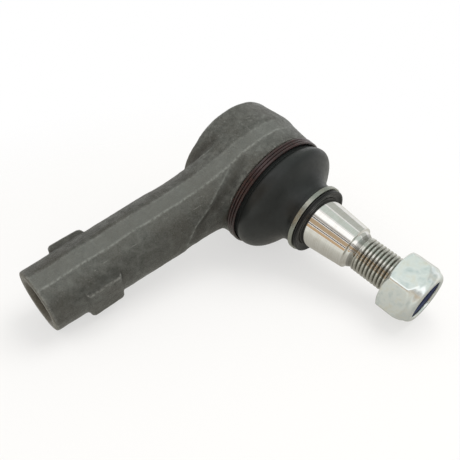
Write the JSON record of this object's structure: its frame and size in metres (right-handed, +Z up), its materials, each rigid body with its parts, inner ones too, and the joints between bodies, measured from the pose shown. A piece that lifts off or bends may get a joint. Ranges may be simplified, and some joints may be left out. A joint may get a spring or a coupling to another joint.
{
  "type": "tie rod end",
  "caption": "Outer tie rod end: forged housing with an internally threaded shank, swivelling tapered ball stud with lock nut, and a rubber dust boot held by two rings.",
  "frame": {"origin": "centre of the ball of the ball stud", "axes": "+X along the shank, out of its threaded mouth; +Y along the ball stud, out of its nut; +Z up, at right angles to both. The housing's own head axis is rolled 5 degrees about X from +Y towards -Z, as the ball joint rests in the picture"},
  "size_m": [0.1253, 0.1047, 0.0525],
  "materials": {
    "forged_steel": "as-forged steel, dark phosphate, slightly oiled",
    "polished_steel": "ground and polished taper, rolled thread",
    "seat_polymer": "moulded acetal",
    "spring_steel": "spring temper",
    "seal_rubber": "satin",
    "cover_steel": "pressed sheet steel, phosphate",
    "boot_rubber": "satin chloroprene",
    "ring_wire": "lacquered spring wire, dark red-brown",
    "neck_ring_steel": "plain",
    "zinc_plated_steel": "bright zinc plate",
    "nylon": "dyed nylon"
  },
  "bodies": {
    "housing": {"housing": "forged_steel", "ball_seat": "seat_polymer", "pressure_seat": "seat_polymer", "preload_spring": "spring_steel", "cover_seal": "seal_rubber", "cover_plate": "cover_steel", "boot_foot_ring": "ring_wire"},
    "boot": {"dust_boot": "boot_rubber"},
    "neck": {"boot_neck_ring": "neck_ring_steel", "boot_neck_seal": "seal_rubber"},
    "stud": {"ball_stud": "polished_steel"},
    "nut_carriage": {"nut_insert": "nylon"},
    "nut": {"lock_nut": "zinc_plated_steel"}
  },
  "joints": [
    {"name": "stud_swing_updown", "type": "hinge", "parent": "housing", "child": "boot", "pos_m": [0, 0, 0], "axis": [1, 0, 0], "range_deg": [-23, 13], "deforming": ["dust_boot"]},
    {"name": "stud_swing_sideways", "type": "hinge", "parent": "boot", "child": "neck", "pos_m": [0, 0, 0], "axis": [0, 0, 1], "range_deg": [-18, 18], "deforming": ["dust_boot"]},
    {"name": "stud_spin", "type": "hinge", "parent": "neck", "child": "stud", "pos_m": [0, 0, 0], "axis": [0, 1, 0], "continuous": true},
    {"name": "nut_travel", "type": "slide", "parent": "stud", "child": "nut_carriage", "axis": [0, 1, 0], "range_m": [-0.0142, 0.006]},
    {"name": "nut_turn", "type": "hinge", "parent": "nut_carriage", "child": "nut", "pos_m": [0, 0.08, 0], "axis": [0, 1, 0], "range_deg": [-3409, 1441]}
  ],
  "couplings": [
    {"joint": "nut_turn", "follows": "nut_travel", "rad_per_m": 4188.8}
  ]
}
